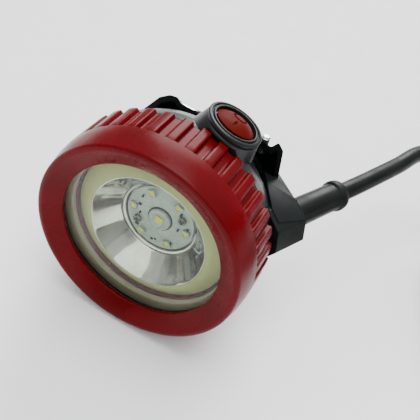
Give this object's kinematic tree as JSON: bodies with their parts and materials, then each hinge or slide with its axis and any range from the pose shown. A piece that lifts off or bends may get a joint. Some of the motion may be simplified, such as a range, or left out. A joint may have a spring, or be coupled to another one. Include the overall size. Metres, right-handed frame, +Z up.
{
  "type": "miner's cap lamp headpiece",
  "caption": "Corded miner's cap lamp: ribbed screw-on bezel ring, lens, LED reflector unit, rocker switch, rear cap hook and a long battery lead.",
  "frame": {"origin": "middle of the footprint of the lamp without its cord, on the surface it stands on", "axes": "+Z up along the cap hook, the beam leaves along -Y, +X on the side of the cable boss"},
  "size_m": [0.2418, 0.1548, 0.0847],
  "materials": {
    "red_shell": "gloss",
    "black_shell": "satin",
    "rubber": "matte",
    "cable_rubber": "satin",
    "clear_lens": "gloss",
    "grey_plastic": "matte",
    "cream_plastic": "matte",
    "chrome": "mirror",
    "white_board": "satin",
    "led_resin": "gloss",
    "green_board": "satin",
    "aluminium": "satin",
    "steel": "brushed",
    "brass": "satin",
    "rocker_red": "satin",
    "wire_red": "satin",
    "wire_black": "satin"
  },
  "bodies": {
    "housing": {"aux_led_1": "led_resin", "aux_led_2": "led_resin", "aux_led_3": "led_resin", "aux_led_4": "led_resin", "aux_led_5": "led_resin", "aux_led_6": "led_resin", "board_screw_1": "steel", "board_screw_2": "steel", "cable": "cable_rubber", "cable_coil": "cable_rubber", "cable_tail": "cable_rubber", "cap_hook": "steel", "charge_contact": "steel", "coil_tie": "rubber", "connector_body": "cable_rubber", "connector_pin_1": "brass", "connector_pin_2": "brass", "core_wire_1": "wire_red", "core_wire_2": "wire_black", "cover_gasket": "rubber", "cover_screw_1": "steel", "cover_screw_2": "steel", "driver_board": "green_board", "glow_ring": "cream_plastic", "heat_sink": "aluminium", "hook_screw_1": "steel", "hook_screw_2": "steel", "hook_screw_3": "steel", "hook_screw_4": "steel", "housing": "black_shell", "led_board": "white_board", "main_led_base": "white_board", "main_led_dome": "led_resin", "neck_oring": "rubber", "rear_cover": "black_shell", "reflector": "chrome", "rocker_pin": "steel", "strain_relief": "cable_rubber", "switch_body": "black_shell", "switch_collar": "black_shell", "switch_terminal_1": "brass", "switch_terminal_2": "brass"},
    "front_stack": {"lens_gasket": "rubber", "lens": "clear_lens", "lens_holder": "grey_plastic"},
    "bezel": {"bezel_ring": "red_shell"},
    "rocker": {"switch_rocker": "rocker_red", "rocker_plunger": "brass"},
    "seesaw": {"contact_seesaw": "brass"}
  },
  "joints": [
    {"name": "bezel_advance", "type": "slide", "parent": "housing", "child": "front_stack", "axis": [0, -1, 0], "range_m": [0, 0.006]},
    {"name": "bezel_turn", "type": "hinge", "parent": "front_stack", "child": "bezel", "pos_m": [-0.00759, -0.03714, 0.0406], "axis": [0, -1, 0], "range_deg": [0, 720]},
    {"name": "switch_rock", "type": "hinge", "parent": "housing", "child": "rocker", "pos_m": [0.00275, -0.00287, 0.07916], "axis": [0.9659, 0, -0.2588], "range_deg": [0, 16]},
    {"name": "contact_tilt", "type": "hinge", "parent": "housing", "child": "seesaw", "pos_m": [0.0009, -0.00387, 0.07228], "axis": [0.9659, 0, -0.2588], "range_deg": [-9.6, 0]}
  ],
  "couplings": [
    {"joint": "bezel_advance", "follows": "bezel_turn", "m_per_rad": 0.00047746},
    {"joint": "contact_tilt", "follows": "switch_rock", "ratio": -0.6}
  ]
}
